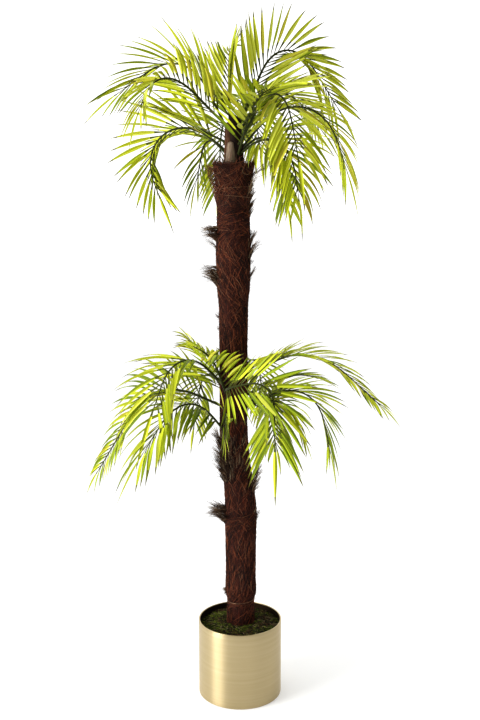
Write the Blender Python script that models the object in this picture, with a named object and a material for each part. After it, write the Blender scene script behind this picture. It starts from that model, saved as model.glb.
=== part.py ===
"""An artificial palm with two crowns of fronds, in a round metal pot.

The origin is the centre of the pot's flat underside, +Z is up, +X is the
viewer's right and -Y is towards the viewer. All sizes are metres, and all
angles in the frond tables are degrees.
"""
import math
from collections import namedtuple

import bpy
from mathutils import Vector
from mathutils.bvhtree import BVHTree

# Pot and its fill
POT_RADIUS = 0.112
POT_HEIGHT = 0.208
POT_WALL = 0.0018
POT_FLOOR = 0.003
POT_LIP = 0.0035
POT_LIP_DEPTH = 0.005
POT_EDGE = 0.003
POT_SIDES = 48
FILL_CENTRE_HEIGHT = 0.200
FILL_EDGE_HEIGHT = 0.190
FILL_FLAT_RADIUS = 0.050
FILL_SHOULDER_RADIUS = 0.088
FILL_SHOULDER_RISE = 0.8

# Clearance between pieces that rest on each other
SEAT = 0.0003

# Trunk: it leans to the viewer's left between the two crowns
TRUNK_TOP = 1.405
TRUNK_SIDES = 24
LEAN_START = 0.50
LEAN_END = 0.75
FOOT_X = 0.002
LEAN = 0.019
# Height and radius: foot, wire pinch, bulge, lower crown, upper shaft, top
TRUNK_PROFILE = (
    (0.200, 0.0375),
    (0.225, 0.0370),
    (0.262, 0.0360),
    (0.285, 0.0415),
    (0.330, 0.0395),
    (0.420, 0.0400),
    (0.500, 0.0420),
    (0.560, 0.0400),
    (0.640, 0.0365),
    (0.800, 0.0355),
    (0.930, 0.0355),
    (1.050, 0.0370),
    (1.120, 0.0420),
    (1.200, 0.0440),
    (1.290, 0.0415),
    (1.405, 0.0425),
)
TRUNK_RING_STEP = 0.05
# Below this height each row of the profile has a ring of its own
TRUNK_FINE_TOP = 0.35

# Post that carries the upper fronds: it narrows from the trunk's top to its own
POST_FOOT_RADIUS = 0.028
POST_TOP_RADIUS = 0.019
POST_TOP = 1.536
POST_SHOULDER = 0.006

# Fibre tufts stand out of the trunk as bands with a toothed edge
BAND_THICKNESS = 0.003
BAND_GAP = 0.0004
# Teeth are 0.5 to 1 times as long as the tuft's reach, by a sine along the band
TOOTH_MEAN = 0.75
TOOTH_SWING = 0.25
TOOTH_STEP = 2.4
TOOTH_SHIFT = 40.0
# Height in the band that the teeth rise from
TOOTH_FOOT = 0.7

# Ribs and leaflets
RIB_STEPS = 96
RIB_ROOT = 0.0060
RIB_TIP = 0.0022
LAST_LEAF = 0.95
PAIR_PITCH = 0.024
LEAF_ROOT = 0.008
LEAF_WIDTH = 0.0150
LEAF_THICKNESS = 0.0021
LEAF_SAMPLES = 8
# Angle between a leaflet and the rib at every frond's last pair
LEAF_ANGLE_TIP = 30.0
LEAF_FOLLOW = 0.25
# A leaflet at least this long has the full width, a shorter one less of it
FULL_WIDTH_LENGTH = 0.150
SHORT_LEAF_WIDTH = 0.6
# Single leaflet at the end of the rib: length as a share of the last pair's,
# width and sag as shares of the full width and of its length
TERMINAL_LEAF = 1.05
TERMINAL_WIDTH = 0.8
TERMINAL_SAG_MIDDLE = 0.03
TERMINAL_SAG_TIP = 0.12
# Fronds at least this long are divided at their bend
SPLIT_LENGTH = 0.262

# A leaflet needs this much room round it; it is tried shorter or turned
ROOM = 0.0007
ROOT_SKIP = 0.06
TRIES = ((1.0, 0), (1.0, 14), (1.0, -14), (0.75, 0), (0.75, 22), (0.75, -22), (0.5, 0))
TUBE_SAMPLES = 24

# Corners of a section, across and above its middle
CORNERS = ((-1, -1), (1, -1), (1, 1), (-1, 1))

# Height of the root, azimuth (0 right, 90 away, 180 left, 270 to the viewer),
# rise of the rib at its root, length, turn of the rib downwards, place and
# spread of that turn as shares of the length, swing of the azimuth along the
# rib, roll of the blade about the rib at its root and twist from there to its
# tip, angle between the first leaflets and the rib, fold of the leaflets above
# the blade's plane, their sag, length of the first and the last leaflets, and
# bare share of the rib
Frond = namedtuple(
    "Frond", "height azimuth rise length droop bend spread swing roll twist angle fold sag leaf last bare"
)

UPPER_FRONDS = (
    Frond(1.519, 161, 62, 0.354, 96, 0.54, 0.64, 13, 21, -5, 47, 22, 0.28, 0.185, 0.131, 0.18),
    Frond(1.516, 201, 40, 0.339, 91, 0.60, 0.76, 51, 45, -12, 39, 22, 0.64, 0.143, 0.108, 0.18),
    Frond(1.454, 173, 46, 0.319, 161, 0.52, 1.09, 2, 44, 12, 37, 16, 0.15, 0.185, 0.100, 0.20),
    Frond(1.452, 138, 35, 0.170, 112, 0.38, 0.44, 18, 15, -26, 66, 6, 0.36, 0.121, 0.095, 0.15),
    Frond(1.527, 33, 63, 0.451, 113, 0.52, 0.54, -1, 64, 24, 41, 19, 0.15, 0.175, 0.113, 0.15),
    Frond(1.474, 315, 50, 0.362, 113, 0.49, 0.64, -30, 15, -11, 66, -4, 0.43, 0.185, 0.134, 0.15),
    Frond(1.464, 3, 50, 0.372, 121, 0.51, 0.85, 14, 2, 0, 66, 3, 0.68, 0.148, 0.132, 0.18),
    Frond(1.445, 320, 31, 0.264, 111, 0.47, 0.96, -7, 36, -39, 66, 4, 0.90, 0.185, 0.101, 0.18),
    Frond(1.515, 110, 83, 0.229, 74, 0.81, 0.63, -39, -74, -7, 36, 27, 0.15, 0.185, 0.066, 0.15),
    Frond(1.475, 180, 25, 0.181, 5, 0.80, 0.97, 31, -3, 3, 38, 8, 0.27, 0.185, 0.065, 0.20),
    Frond(1.505, 38, 48, 0.330, 90, 0.50, 0.70, 0, 0, 0, 50, 20, 0.35, 0.160, 0.100, 0.18),
    Frond(1.495, 75, 45, 0.360, 105, 0.50, 0.60, 0, 0, 0, 50, 5, 0.35, 0.160, 0.100, 0.18),
    Frond(1.470, 100, 35, 0.340, 110, 0.45, 0.60, 0, 0, 0, 50, 10, 0.35, 0.160, 0.100, 0.18),
    Frond(1.450, 50, 30, 0.310, 105, 0.42, 0.65, 0, 0, 0, 50, 10, 0.35, 0.160, 0.100, 0.18),
    Frond(1.452, 305, 63, 0.214, 57, 0.60, 0.81, -14, -11, 8, 58, 24, 0.48, 0.117, 0.150, 0.15),
)

LOWER_FRONDS = (
    Frond(0.863, 213, 44, 0.275, 109, 0.52, 0.75, 11, 28, -61, 66, 0, 0.58, 0.183, 0.150, 0.15),
    Frond(0.798, 173, 23, 0.451, 82, 0.37, 0.57, -3, -17, -32, 50, 26, 0.67, 0.185, 0.071, 0.15),
    Frond(0.745, 218, 48, 0.309, 92, 0.46, 0.75, 13, -27, 52, 58, -15, 0.89, 0.185, 0.143, 0.15),
    Frond(0.852, 345, 52, 0.416, 91, 0.39, 0.83, -10, -2, 6, 48, 6, 0.33, 0.147, 0.068, 0.15),
    Frond(0.842, 253, 16, 0.364, 105, 0.65, 0.33, 132, -106, 20, 66, 20, 0.15, 0.111, 0.147, 0.10),
    Frond(0.806, 336, 23, 0.315, 101, 0.55, 0.64, 9, -1, -28, 64, 11, 0.38, 0.185, 0.114, 0.15),
    Frond(0.851, 125, 34, 0.160, -15, 0.72, 0.15, 29, 14, 15, 38, 32, 0.89, 0.150, 0.065, 0.12),
    Frond(0.825, 20, 20, 0.206, 42, 0.75, 0.60, -14, -14, 8, 41, 9, 0.15, 0.096, 0.065, 0.15),
    Frond(0.752, 245, 68, 0.129, 151, 0.48, 0.58, 45, -42, -25, 53, 6, 0.32, 0.085, 0.065, 0.12),
    Frond(0.798, 354, 16, 0.181, 81, 0.51, 0.68, -12, 17, -24, 62, 6, 0.90, 0.153, 0.083, 0.15),
    Frond(0.845, 236, 60, 0.190, 37, 0.57, 0.71, 4, -8, 6, 53, 20, 0.60, 0.128, 0.065, 0.10),
    Frond(0.845, 70, 35, 0.330, 105, 0.42, 0.60, 0, 0, 0, 50, 5, 0.60, 0.150, 0.090, 0.15),
    Frond(0.815, 115, 25, 0.340, 95, 0.45, 0.60, 0, 0, 0, 50, 10, 0.60, 0.150, 0.090, 0.15),
    Frond(0.760, 60, 30, 0.310, 100, 0.40, 0.60, 0, 0, 0, 50, 10, 0.60, 0.150, 0.090, 0.15),
)

# Height of the band's foot, middle azimuth, arc, number of teeth, band height,
# reach of the teeth from the trunk, and rise of their tips above the band
Tuft = namedtuple("Tuft", "height azimuth arc teeth band reach rise")

FIBRE_RIM = Tuft(1.355, 0, 360, 24, 0.042, 0.027, 0.034)
FIBRE_TUFTS = (
    Tuft(1.295, 0, 70, 5, 0.030, 0.026, 0.012),
    Tuft(1.205, 186, 70, 5, 0.034, 0.034, 0.016),
    Tuft(1.105, 190, 90, 6, 0.034, 0.042, 0.032),
    Tuft(0.600, 215, 110, 7, 0.050, 0.030, 0.060),
    Tuft(0.575, 345, 80, 5, 0.034, 0.040, 0.020),
    Tuft(0.490, 190, 80, 5, 0.030, 0.050, 0.014),
)

# Colour, roughness and metallic value
BRASS = ((0.62, 0.52, 0.30, 1.0), 0.32, 1.0)
MOSS = ((0.09, 0.11, 0.04, 1.0), 0.95, 0.0)
FIBRE = ((0.12, 0.05, 0.03, 1.0), 0.90, 0.0)
POST_BROWN = ((0.09, 0.06, 0.045, 1.0), 0.70, 0.0)
LEAF_GREEN = ((0.42, 0.50, 0.04, 1.0), 0.45, 0.0)


def clear_scene():
    for item in list(bpy.data.objects):
        bpy.data.objects.remove(item, do_unlink=True)


def make_material(name, colour, roughness, metallic):
    material = bpy.data.materials.new(name)
    material.use_nodes = True
    shader = material.node_tree.nodes["Principled BSDF"]
    shader.inputs["Base Color"].default_value = colour
    shader.inputs["Roughness"].default_value = roughness
    shader.inputs["Metallic"].default_value = metallic
    return material


def add_piece(name, points, faces, material):
    mesh = bpy.data.meshes.new(name)
    mesh.from_pydata([tuple(point) for point in points], [], faces)
    mesh.materials.append(material)
    mesh.update()
    piece = bpy.data.objects.new(name, mesh)
    bpy.context.collection.objects.link(piece)
    return piece


def smooth(low, high, value):
    """Ease from 0 at low to 1 at high."""
    share = min(1.0, max(0.0, (value - low) / (high - low)))
    return share * share * (3.0 - 2.0 * share)


def between(first, second, share):
    return first + (second - first) * share


def around(azimuth):
    """Unit vector on the ground plane."""
    turn = math.radians(azimuth)
    return Vector((math.cos(turn), math.sin(turn), 0.0))


def trunk_axis(height):
    return Vector((FOOT_X - LEAN * smooth(LEAN_START, LEAN_END, height), 0.0, height))


def trunk_radius(height):
    """Radius between two rows of the profile, eased at each row."""
    for (low, low_radius), (high, high_radius) in zip(TRUNK_PROFILE, TRUNK_PROFILE[1:]):
        if height <= high:
            return between(low_radius, high_radius, smooth(low, high, height))
    return TRUNK_PROFILE[-1][1]


def post_radius(height):
    return between(POST_FOOT_RADIUS, POST_TOP_RADIUS, (height - TRUNK_TOP) / (POST_TOP - TRUNK_TOP))


def core_radius(height):
    """Radius of what a rib is rooted on: the post above the trunk, else the trunk."""
    return post_radius(height) if height > TRUNK_TOP else trunk_radius(height)


def ring_faces(rings, sides):
    """Quads between successive rings of points."""
    faces = []
    for ring in range(rings - 1):
        for side in range(sides):
            after = (side + 1) % sides
            low = ring * sides
            high = low + sides
            faces.append((low + side, low + after, high + after, high + side))
    return faces


def stacked_rings(rows, sides):
    """A closed solid from rows of (centre, radius), bottom to top."""
    points = []
    for centre, radius in rows:
        points += [centre + around(360.0 * side / sides) * radius for side in range(sides)]
    faces = ring_faces(len(rows), sides)
    faces.append(tuple(reversed(range(sides))))
    faces.append(tuple(range((len(rows) - 1) * sides, len(rows) * sides)))
    return points, faces


def turned(profile, sides):
    """A closed solid turned from (radius, height) rows, both ends on the axis."""
    points = [Vector((0.0, 0.0, profile[0][1]))]
    for radius, height in profile[1:-1]:
        up = Vector((0.0, 0.0, height))
        points += [around(360.0 * side / sides) * radius + up for side in range(sides)]
    points.append(Vector((0.0, 0.0, profile[-1][1])))
    last = len(points) - 1
    inner = last - sides
    faces = []
    for side in range(sides):
        after = (side + 1) % sides
        faces.append((0, 1 + after, 1 + side))
        faces.append((last, inner + side, inner + after))
    for quad in ring_faces(len(profile) - 2, sides):
        faces.append(tuple(1 + corner for corner in quad))
    return points, faces


def make_pot(material):
    inside = POT_RADIUS - POT_WALL
    profile = (
        (0.0, 0.0),
        (POT_RADIUS - POT_EDGE, 0.0),
        (POT_RADIUS, POT_EDGE),
        (POT_RADIUS, POT_HEIGHT),
        (POT_RADIUS - POT_LIP, POT_HEIGHT),
        (POT_RADIUS - POT_LIP, POT_HEIGHT - POT_LIP_DEPTH),
        (inside, POT_HEIGHT - POT_LIP_DEPTH - POT_LIP + POT_WALL),
        (inside, POT_FLOOR),
        (0.0, POT_FLOOR),
    )
    return add_piece("pot", *turned(profile, POT_SIDES), material)


def make_fill(material):
    radius = POT_RADIUS - POT_WALL - SEAT
    profile = (
        (0.0, POT_FLOOR + SEAT),
        (radius, POT_FLOOR + SEAT),
        (radius, FILL_EDGE_HEIGHT),
        (FILL_SHOULDER_RADIUS, between(FILL_EDGE_HEIGHT, FILL_CENTRE_HEIGHT, FILL_SHOULDER_RISE)),
        (FILL_FLAT_RADIUS, FILL_CENTRE_HEIGHT),
        (0.0, FILL_CENTRE_HEIGHT),
    )
    return add_piece("pot_fill", *turned(profile, POT_SIDES), material)


def make_trunk(material):
    foot = FILL_CENTRE_HEIGHT + SEAT
    steps = round((TRUNK_TOP - foot) / TRUNK_RING_STEP)
    heights = {between(foot, TRUNK_TOP, step / steps) for step in range(steps + 1)}
    heights |= {height for height, _ in TRUNK_PROFILE if foot < height < TRUNK_FINE_TOP}
    rows = [(trunk_axis(height), trunk_radius(height)) for height in sorted(heights)]
    return add_piece("trunk", *stacked_rings(rows, TRUNK_SIDES), material)


def make_post(material):
    foot = TRUNK_TOP + SEAT
    shoulder = POST_TOP - POST_SHOULDER
    rows = (
        (trunk_axis(foot), post_radius(foot)),
        (trunk_axis(shoulder), post_radius(shoulder)),
        (trunk_axis(POST_TOP), POST_TOP_RADIUS - POST_SHOULDER),
    )
    return add_piece("crown_post", *stacked_rings(rows, TRUNK_SIDES), material)


def make_tuft(name, tuft, material):
    """A band round the trunk whose outer side is drawn out into ragged teeth."""
    whole = tuft.arc >= 360
    columns = tuft.teeth if whole else tuft.teeth + 1
    flats = math.cos(math.radians(tuft.arc / tuft.teeth / 2.0))
    points = []
    for column in range(columns):
        azimuth = tuft.azimuth + tuft.arc * (column / tuft.teeth - 0.5)
        for height in (tuft.height, tuft.height + tuft.band):
            inner = trunk_radius(height) / flats + BAND_GAP
            points.append(trunk_axis(height) + around(azimuth) * inner)
            points.append(trunk_axis(height) + around(azimuth) * (inner + BAND_THICKNESS))
    faces = []
    for tooth in range(tuft.teeth):
        here = 4 * tooth
        there = 4 * ((tooth + 1) % columns)
        low_in, low_out, high_in, high_out = (here + corner for corner in range(4))
        next_low_in, next_low_out, next_high_in, next_high_out = (there + corner for corner in range(4))
        faces.append((low_in, high_in, next_high_in, next_low_in))
        faces.append((low_in, next_low_in, next_low_out, low_out))
        faces.append((high_in, high_out, next_high_out, next_high_in))
        ragged = TOOTH_MEAN + TOOTH_SWING * math.sin(TOOTH_STEP * tooth + TOOTH_SHIFT * tuft.height)
        azimuth = tuft.azimuth + tuft.arc * ((tooth + 0.5) / tuft.teeth - 0.5)
        height = tuft.height + tuft.band * TOOTH_FOOT + tuft.rise * ragged
        reach = trunk_radius(height) + BAND_THICKNESS + tuft.reach * ragged
        points.append(trunk_axis(height) + around(azimuth) * reach)
        tip = len(points) - 1
        faces.append((low_out, next_low_out, tip))
        faces.append((next_low_out, next_high_out, tip))
        faces.append((next_high_out, high_out, tip))
        faces.append((high_out, low_out, tip))
    if not whole:
        faces.append((0, 1, 3, 2))
        end = 4 * tuft.teeth
        faces.append((end, end + 2, end + 3, end + 1))
    return add_piece(name, points, faces, material)


class Rib:
    """The line of a frond's rib, with the blade's side and up directions along it."""

    def __init__(self, frond):
        self.frond = frond
        side = around(frond.azimuth + 90.0)
        point = self.root_point(side, math.radians(frond.roll))
        self.points = []
        self.tangents = []
        self.sides = []
        self.ups = []
        for step in range(RIB_STEPS + 1):
            tangent = self.heading((step + 0.5) / RIB_STEPS)
            side = (side - tangent * side.dot(tangent)).normalized()
            up = tangent.cross(side)
            roll = math.radians(frond.roll + frond.twist * step / RIB_STEPS)
            self.points.append(point)
            self.tangents.append(tangent)
            self.sides.append(side * math.cos(roll) + up * math.sin(roll))
            self.ups.append(up * math.cos(roll) - side * math.sin(roll))
            point = point + tangent * (frond.length / RIB_STEPS)

    def root_point(self, side, roll):
        """Where the rib starts, so that its root's inmost corner clears what it is on."""
        frond = self.frond
        outward = around(frond.azimuth)
        up = self.heading(0.0).cross(side)
        across = side * math.cos(roll) + up * math.sin(roll)
        above = up * math.cos(roll) - side * math.sin(roll)
        inward = (abs(across.dot(outward)) + abs(above.dot(outward))) * RIB_ROOT / 2.0
        start = core_radius(frond.height) + SEAT + inward
        return trunk_axis(frond.height) + outward * start

    def heading(self, share):
        frond = self.frond
        low = frond.bend - frond.spread / 2.0
        high = frond.bend + frond.spread / 2.0
        rise = math.radians(frond.rise - frond.droop * smooth(low, high, share))
        flat = around(frond.azimuth + frond.swing * share) * math.cos(rise)
        return flat + Vector((0.0, 0.0, math.sin(rise)))

    def at(self, share):
        """Point, tangent, side and up at a share of the length."""
        place = min(max(share, 0.0), 1.0) * RIB_STEPS
        step = min(int(place), RIB_STEPS - 1)
        part = place - step
        rows = (self.points, self.tangents, self.sides, self.ups)
        return [row[step].lerp(row[step + 1], part) for row in rows]

    def thickness(self, share):
        return between(RIB_ROOT, RIB_TIP, share)

    def section(self, share):
        """Four corners of the rib: right low, left low, left high, right high."""
        point, _, side, up = self.at(share)
        half = self.thickness(share) / 2.0
        return [point + side * (a * half) + up * (b * half) for a, b in CORNERS]


def leaf_length(frond, place, scale):
    return between(frond.leaf, frond.last, place) * scale


def leaflet_line(rib, share, place, left, scale, turn):
    """Points along one leaflet's middle, from the rib to its tip."""
    frond = rib.frond
    point, tangent, side, up = rib.at(share)
    angle = math.radians(between(frond.angle, LEAF_ANGLE_TIP, place))
    fold = math.radians(frond.fold * (1.0 - place) + turn)
    outward = side * (left * math.cos(fold)) + up * math.sin(fold)
    first = (tangent * math.cos(angle) + outward * math.sin(angle)).normalized()
    step = leaf_length(frond, place, scale) / LEAF_SAMPLES
    line = [point + side * (left * rib.thickness(share) / 2.0)]
    for sample in range(LEAF_SAMPLES):
        along = (sample + 0.5) / LEAF_SAMPLES
        sag = Vector((0.0, 0.0, -frond.sag * along * along))
        heading = (first + tangent * (LEAF_FOLLOW * along) + sag).normalized()
        line.append(line[-1] + heading * step)
    return line, tangent, up


def leaflet_sections(rib, share, place, left, scale, turn, room=0.0):
    """The wide middle section's four corners and the tip of one leaflet."""
    line, tangent, up = leaflet_line(rib, share, place, left, scale, turn)
    middle = line[LEAF_SAMPLES // 2]
    tip = line[-1]
    along = (tip - line[0]).normalized()
    across = (tangent - along * tangent.dot(along)).normalized()
    above = across.cross(along)
    if above.dot(up) < 0.0:
        above = -above
    size = min(1.0, leaf_length(rib.frond, place, scale) / FULL_WIDTH_LENGTH)
    half_width = LEAF_WIDTH * between(SHORT_LEAF_WIDTH, 1.0, size) / 2.0 + room
    half_depth = LEAF_THICKNESS / 2.0 + room
    ring = [middle + across * (a * half_width) + above * (b * half_depth) for a, b in CORNERS]
    return ring, tip + along * room


def leaflet_root(rib, share, left):
    """The quad of the rib's side that a leaflet grows from."""
    half_root = LEAF_ROOT / 2.0 / rib.frond.length
    before = rib.section(share - half_root)
    after = rib.section(share + half_root)
    low, high = (1, 2) if left == 1 else (0, 3)
    return [before[low], after[low], after[high], before[high]]


def leaf_test_tree(root, ring, tip):
    """A leaflet without the first of its root, to test for room."""
    start = [foot.lerp(corner, ROOT_SKIP) for foot, corner in zip(root, ring)]
    points = start + ring + [tip]
    faces = [(0, 1, 2, 3)]
    for corner in range(4):
        after = (corner + 1) % 4
        faces.append((corner, after, 4 + after, 4 + corner))
        faces.append((4 + corner, 4 + after, 8))
    return points, BVHTree.FromPolygons(points, faces)


class Space:
    """What already stands in the crown, so that leaflets keep clear of it."""

    def __init__(self):
        self.held = []

    def add(self, points, tree):
        low = [min(point[axis] for point in points) for axis in range(3)]
        high = [max(point[axis] for point in points) for axis in range(3)]
        self.held.append((low, high, tree))

    def add_mesh(self, points, faces):
        self.add(points, BVHTree.FromPolygons([tuple(point) for point in points], faces))

    def is_free(self, points, tree):
        low = [min(point[axis] for point in points) for axis in range(3)]
        high = [max(point[axis] for point in points) for axis in range(3)]
        for held_low, held_high, held_tree in self.held:
            apart = any(low[a] > held_high[a] or high[a] < held_low[a] for a in range(3))
            if not apart and tree.overlap(held_tree):
                return False
        return True


def pair_places(frond):
    """Shares of the rib's length where its pairs of leaflets stand."""
    run = LAST_LEAF - frond.bare
    pairs = max(3, round(frond.length * run / PAIR_PITCH))
    return [(frond.bare + run * pair / (pairs - 1), pair / (pairs - 1)) for pair in range(pairs)]


def terminal_sections(rib, room=0.0):
    """Middle section and tip of the single leaflet that carries on from the rib's end."""
    end, tangent, side, up = rib.at(1.0)
    length = rib.frond.last * TERMINAL_LEAF
    down = Vector((0.0, 0.0, -length))
    middle = end + tangent * (length / 2.0) + down * TERMINAL_SAG_MIDDLE
    tip = end + tangent * (length + room) + down * TERMINAL_SAG_TIP
    half_width = LEAF_WIDTH * TERMINAL_WIDTH / 2.0 + room
    half_depth = LEAF_THICKNESS / 2.0 + room
    ring = [middle + side * (a * half_width) + up * (b * half_depth) for a, b in CORNERS]
    return ring, tip


def rib_tube(rib):
    """A plain tube along the rib and its last leaflet, a little fat, to test for room."""
    points = []
    for sample in range(TUBE_SAMPLES + 1):
        share = sample / TUBE_SAMPLES
        point, _, side, up = rib.at(share)
        half = rib.thickness(share) / 2.0 + ROOM
        points += [point + side * (a * half) + up * (b * half) for a, b in CORNERS]
    ring, tip = terminal_sections(rib, ROOM)
    points += ring + [tip]
    faces = ring_faces(TUBE_SAMPLES + 2, 4)
    last = len(points) - 1
    faces += [(last - 4 + corner, last - 4 + (corner + 1) % 4, last) for corner in range(4)]
    return points, faces


def place_leaflets(ribs, space):
    """Choose each leaflet's scale and turn, tips of the fronds first; skip what touches."""
    spots = []
    for number, rib in enumerate(ribs):
        for share, place in pair_places(rib.frond):
            for left in (1, -1):
                spots.append((-place, number, share, left))
    chosen = {}
    for negative_place, number, share, left in sorted(spots):
        place = -negative_place
        for scale, turn in TRIES:
            rib = ribs[number]
            sections = leaflet_sections(rib, share, place, left, scale, turn, ROOM)
            points, tree = leaf_test_tree(leaflet_root(rib, share, left), *sections)
            if space.is_free(points, tree):
                space.add(points, tree)
                chosen[number, share, left] = (place, scale, turn)
                break
    return chosen


def frond_stations(frond, split_share):
    """Shares where the rib has a section, each with the pair that starts there."""
    half_root = LEAF_ROOT / 2.0 / frond.length
    stations = [(0.0, None), (frond.bare / 2.0, None)]
    for share, _ in pair_places(frond):
        if split_share and stations[-1][0] < split_share < share:
            stations.append((split_share, "split"))
        stations.append((share - half_root, share))
        stations.append((share + half_root, None))
    stations.append((1.0, None))
    return stations


def split_place(frond):
    """Where a long frond is divided: between two pairs, next to its bend."""
    if frond.length < SPLIT_LENGTH:
        return None
    shares = [share for share, _ in pair_places(frond)]
    gaps = [(first + second) / 2.0 for first, second in zip(shares, shares[1:])]
    return min(gaps, key=lambda share: abs(share - frond.bend))


def add_leaflet(points, faces, root, ring, tip):
    """Draw a quad of the rib out to a leaflet's middle section and its tip."""
    first = len(points)
    points.extend(ring)
    points.append(tip)
    for corner in range(4):
        after = (corner + 1) % 4
        faces.append((root[corner], root[after], first + after, first + corner))
        faces.append((first + corner, first + after, first + 4))


def frond_piece(rib, number, stations, chosen, ends_in_leaf):
    """Points and faces of the rib between the given stations, with its leaflets."""
    points = []
    faces = []
    for share, _ in stations:
        points += rib.section(share)
    for index in range(len(stations) - 1):
        low = 4 * index
        high = low + 4
        pair = stations[index][1]
        faces.append((low, low + 1, high + 1, high))
        faces.append((low + 2, low + 3, high + 3, high + 2))
        # Each side quad, with the order that makes a leaflet's ring match it
        sides = (
            (1, (low + 1, low + 2, high + 2, high + 1), (0, 3, 2, 1)),
            (-1, (low + 3, low, high, high + 3), (3, 0, 1, 2)),
        )
        for left, quad, order in sides:
            choice = chosen.get((number, pair, left))
            if choice is None:
                faces.append(quad)
                continue
            ring, tip = leaflet_sections(rib, pair, choice[0], left, *choice[1:])
            add_leaflet(points, faces, quad, [ring[corner] for corner in order], tip)
    faces.append((0, 3, 2, 1))
    last = 4 * (len(stations) - 1)
    end = (last, last + 1, last + 2, last + 3)
    if ends_in_leaf:
        add_leaflet(points, faces, end, *terminal_sections(rib))
    else:
        faces.append(end)
    return points, faces


def make_fronds(tier, ribs, first, chosen, material):
    """One node for each short frond, two for each long one, divided at the bend."""
    for order, rib in enumerate(ribs):
        number = first + order
        split = split_place(rib.frond)
        stations = frond_stations(rib.frond, split)
        name = f"{tier}_frond_{order + 1:02d}"
        if split is None:
            add_piece(name, *frond_piece(rib, number, stations, chosen, True), material)
            continue
        at = next(index for index, row in enumerate(stations) if row[1] == "split")
        gap = SEAT / rib.frond.length
        inner = stations[:at] + [(split, None)]
        outer = [(split + gap, None)] + stations[at + 1:]
        add_piece(f"{name}_inner", *frond_piece(rib, number, inner, chosen, False), material)
        add_piece(f"{name}_outer", *frond_piece(rib, number, outer, chosen, True), material)


def main():
    clear_scene()
    brass = make_material("brass", *BRASS)
    moss = make_material("moss", *MOSS)
    fibre = make_material("fibre", *FIBRE)
    brown = make_material("post_brown", *POST_BROWN)
    green = make_material("leaf_green", *LEAF_GREEN)
    woody = [make_pot(brass), make_fill(moss), make_trunk(fibre), make_post(brown)]
    woody.append(make_tuft("fibre_rim", FIBRE_RIM, fibre))
    for order, tuft in enumerate(FIBRE_TUFTS):
        woody.append(make_tuft(f"fibre_tuft_{order + 1}", tuft, fibre))
    space = Space()
    for piece in woody:
        mesh = piece.data
        space.add_mesh([v.co for v in mesh.vertices], [tuple(p.vertices) for p in mesh.polygons])
    ribs = [Rib(frond) for frond in UPPER_FRONDS + LOWER_FRONDS]
    for rib in ribs:
        space.add_mesh(*rib_tube(rib))
    chosen = place_leaflets(ribs, space)
    uppers = len(UPPER_FRONDS)
    make_fronds("upper", ribs[:uppers], 0, chosen, green)
    make_fronds("lower", ribs[uppers:], uppers, chosen, green)


main()
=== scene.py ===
import math
from collections import namedtuple

import bpy
import numpy as np
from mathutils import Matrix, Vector, noise


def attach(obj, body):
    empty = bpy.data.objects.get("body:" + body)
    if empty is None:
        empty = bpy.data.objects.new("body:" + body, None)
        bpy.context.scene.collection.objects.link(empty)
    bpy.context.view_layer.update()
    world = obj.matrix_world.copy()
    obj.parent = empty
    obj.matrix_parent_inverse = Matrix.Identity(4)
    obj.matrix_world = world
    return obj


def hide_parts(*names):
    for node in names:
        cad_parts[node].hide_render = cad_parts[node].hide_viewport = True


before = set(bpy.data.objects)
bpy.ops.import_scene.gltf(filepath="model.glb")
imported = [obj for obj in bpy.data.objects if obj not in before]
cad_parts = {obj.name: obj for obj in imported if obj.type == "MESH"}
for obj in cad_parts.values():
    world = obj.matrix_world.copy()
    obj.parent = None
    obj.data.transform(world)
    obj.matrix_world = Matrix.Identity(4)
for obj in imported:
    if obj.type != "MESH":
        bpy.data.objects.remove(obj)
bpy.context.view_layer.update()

# Sizes are metres. Azimuths are 0 to the viewer's right and 90 away. Angles in
# tables are degrees, but climb, gather and curl of loose fibres are radians

# Pot and its fill, as in the CAD model
POT_RADIUS = 0.112
POT_HEIGHT = 0.208
POT_WALL = 0.0018
POT_LIP = 0.0035
POT_LIP_DEPTH = 0.005
POT_EDGE = 0.003
FILL_CENTRE_HEIGHT = 0.200
FILL_EDGE_HEIGHT = 0.190
FILL_FLAT_RADIUS = 0.050
SEAT = 0.0003

# Trunk, as in the CAD model
TRUNK_TOP = 1.405
LEAN_START = 0.50
LEAN_END = 0.75
FOOT_X = 0.002
LEAN = 0.019
# Height and radius
TRUNK_PROFILE = (
    (0.200, 0.0375), (0.225, 0.0370), (0.262, 0.0360), (0.285, 0.0415),
    (0.330, 0.0395), (0.420, 0.0400), (0.500, 0.0420), (0.560, 0.0400),
    (0.640, 0.0365), (0.800, 0.0355), (0.930, 0.0355), (1.050, 0.0370),
    (1.120, 0.0420), (1.200, 0.0440), (1.290, 0.0415), (1.405, 0.0425),
)
POST_FOOT_RADIUS = 0.028
POST_TOP_RADIUS = 0.019
POST_TOP = 1.536

# Fronds, as in the CAD model
RIB_STEPS = 96
RIB_ROOT = 0.0060
RIB_TIP = 0.0022
LEAF_ANGLE_TIP = 30.0
LEAF_FOLLOW = 0.25
TERMINAL_LEAF = 1.05

# Root height, azimuth, rise at the root, length, droop towards the tip, place and
# spread of that bend, swing of the azimuth, roll of the blade and its twist, angle
# of the first leaflets to the rib, their fold above the blade, their sag, length of
# the first and the last leaflets, and bare share of the rib. The rows are the CAD
# model's, but the eighth upper frond is bare for longer, to show the trunk's rim
Frond = namedtuple(
    "Frond",
    "height azimuth rise length droop bend spread swing roll twist angle fold sag leaf last bare",
)

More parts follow.
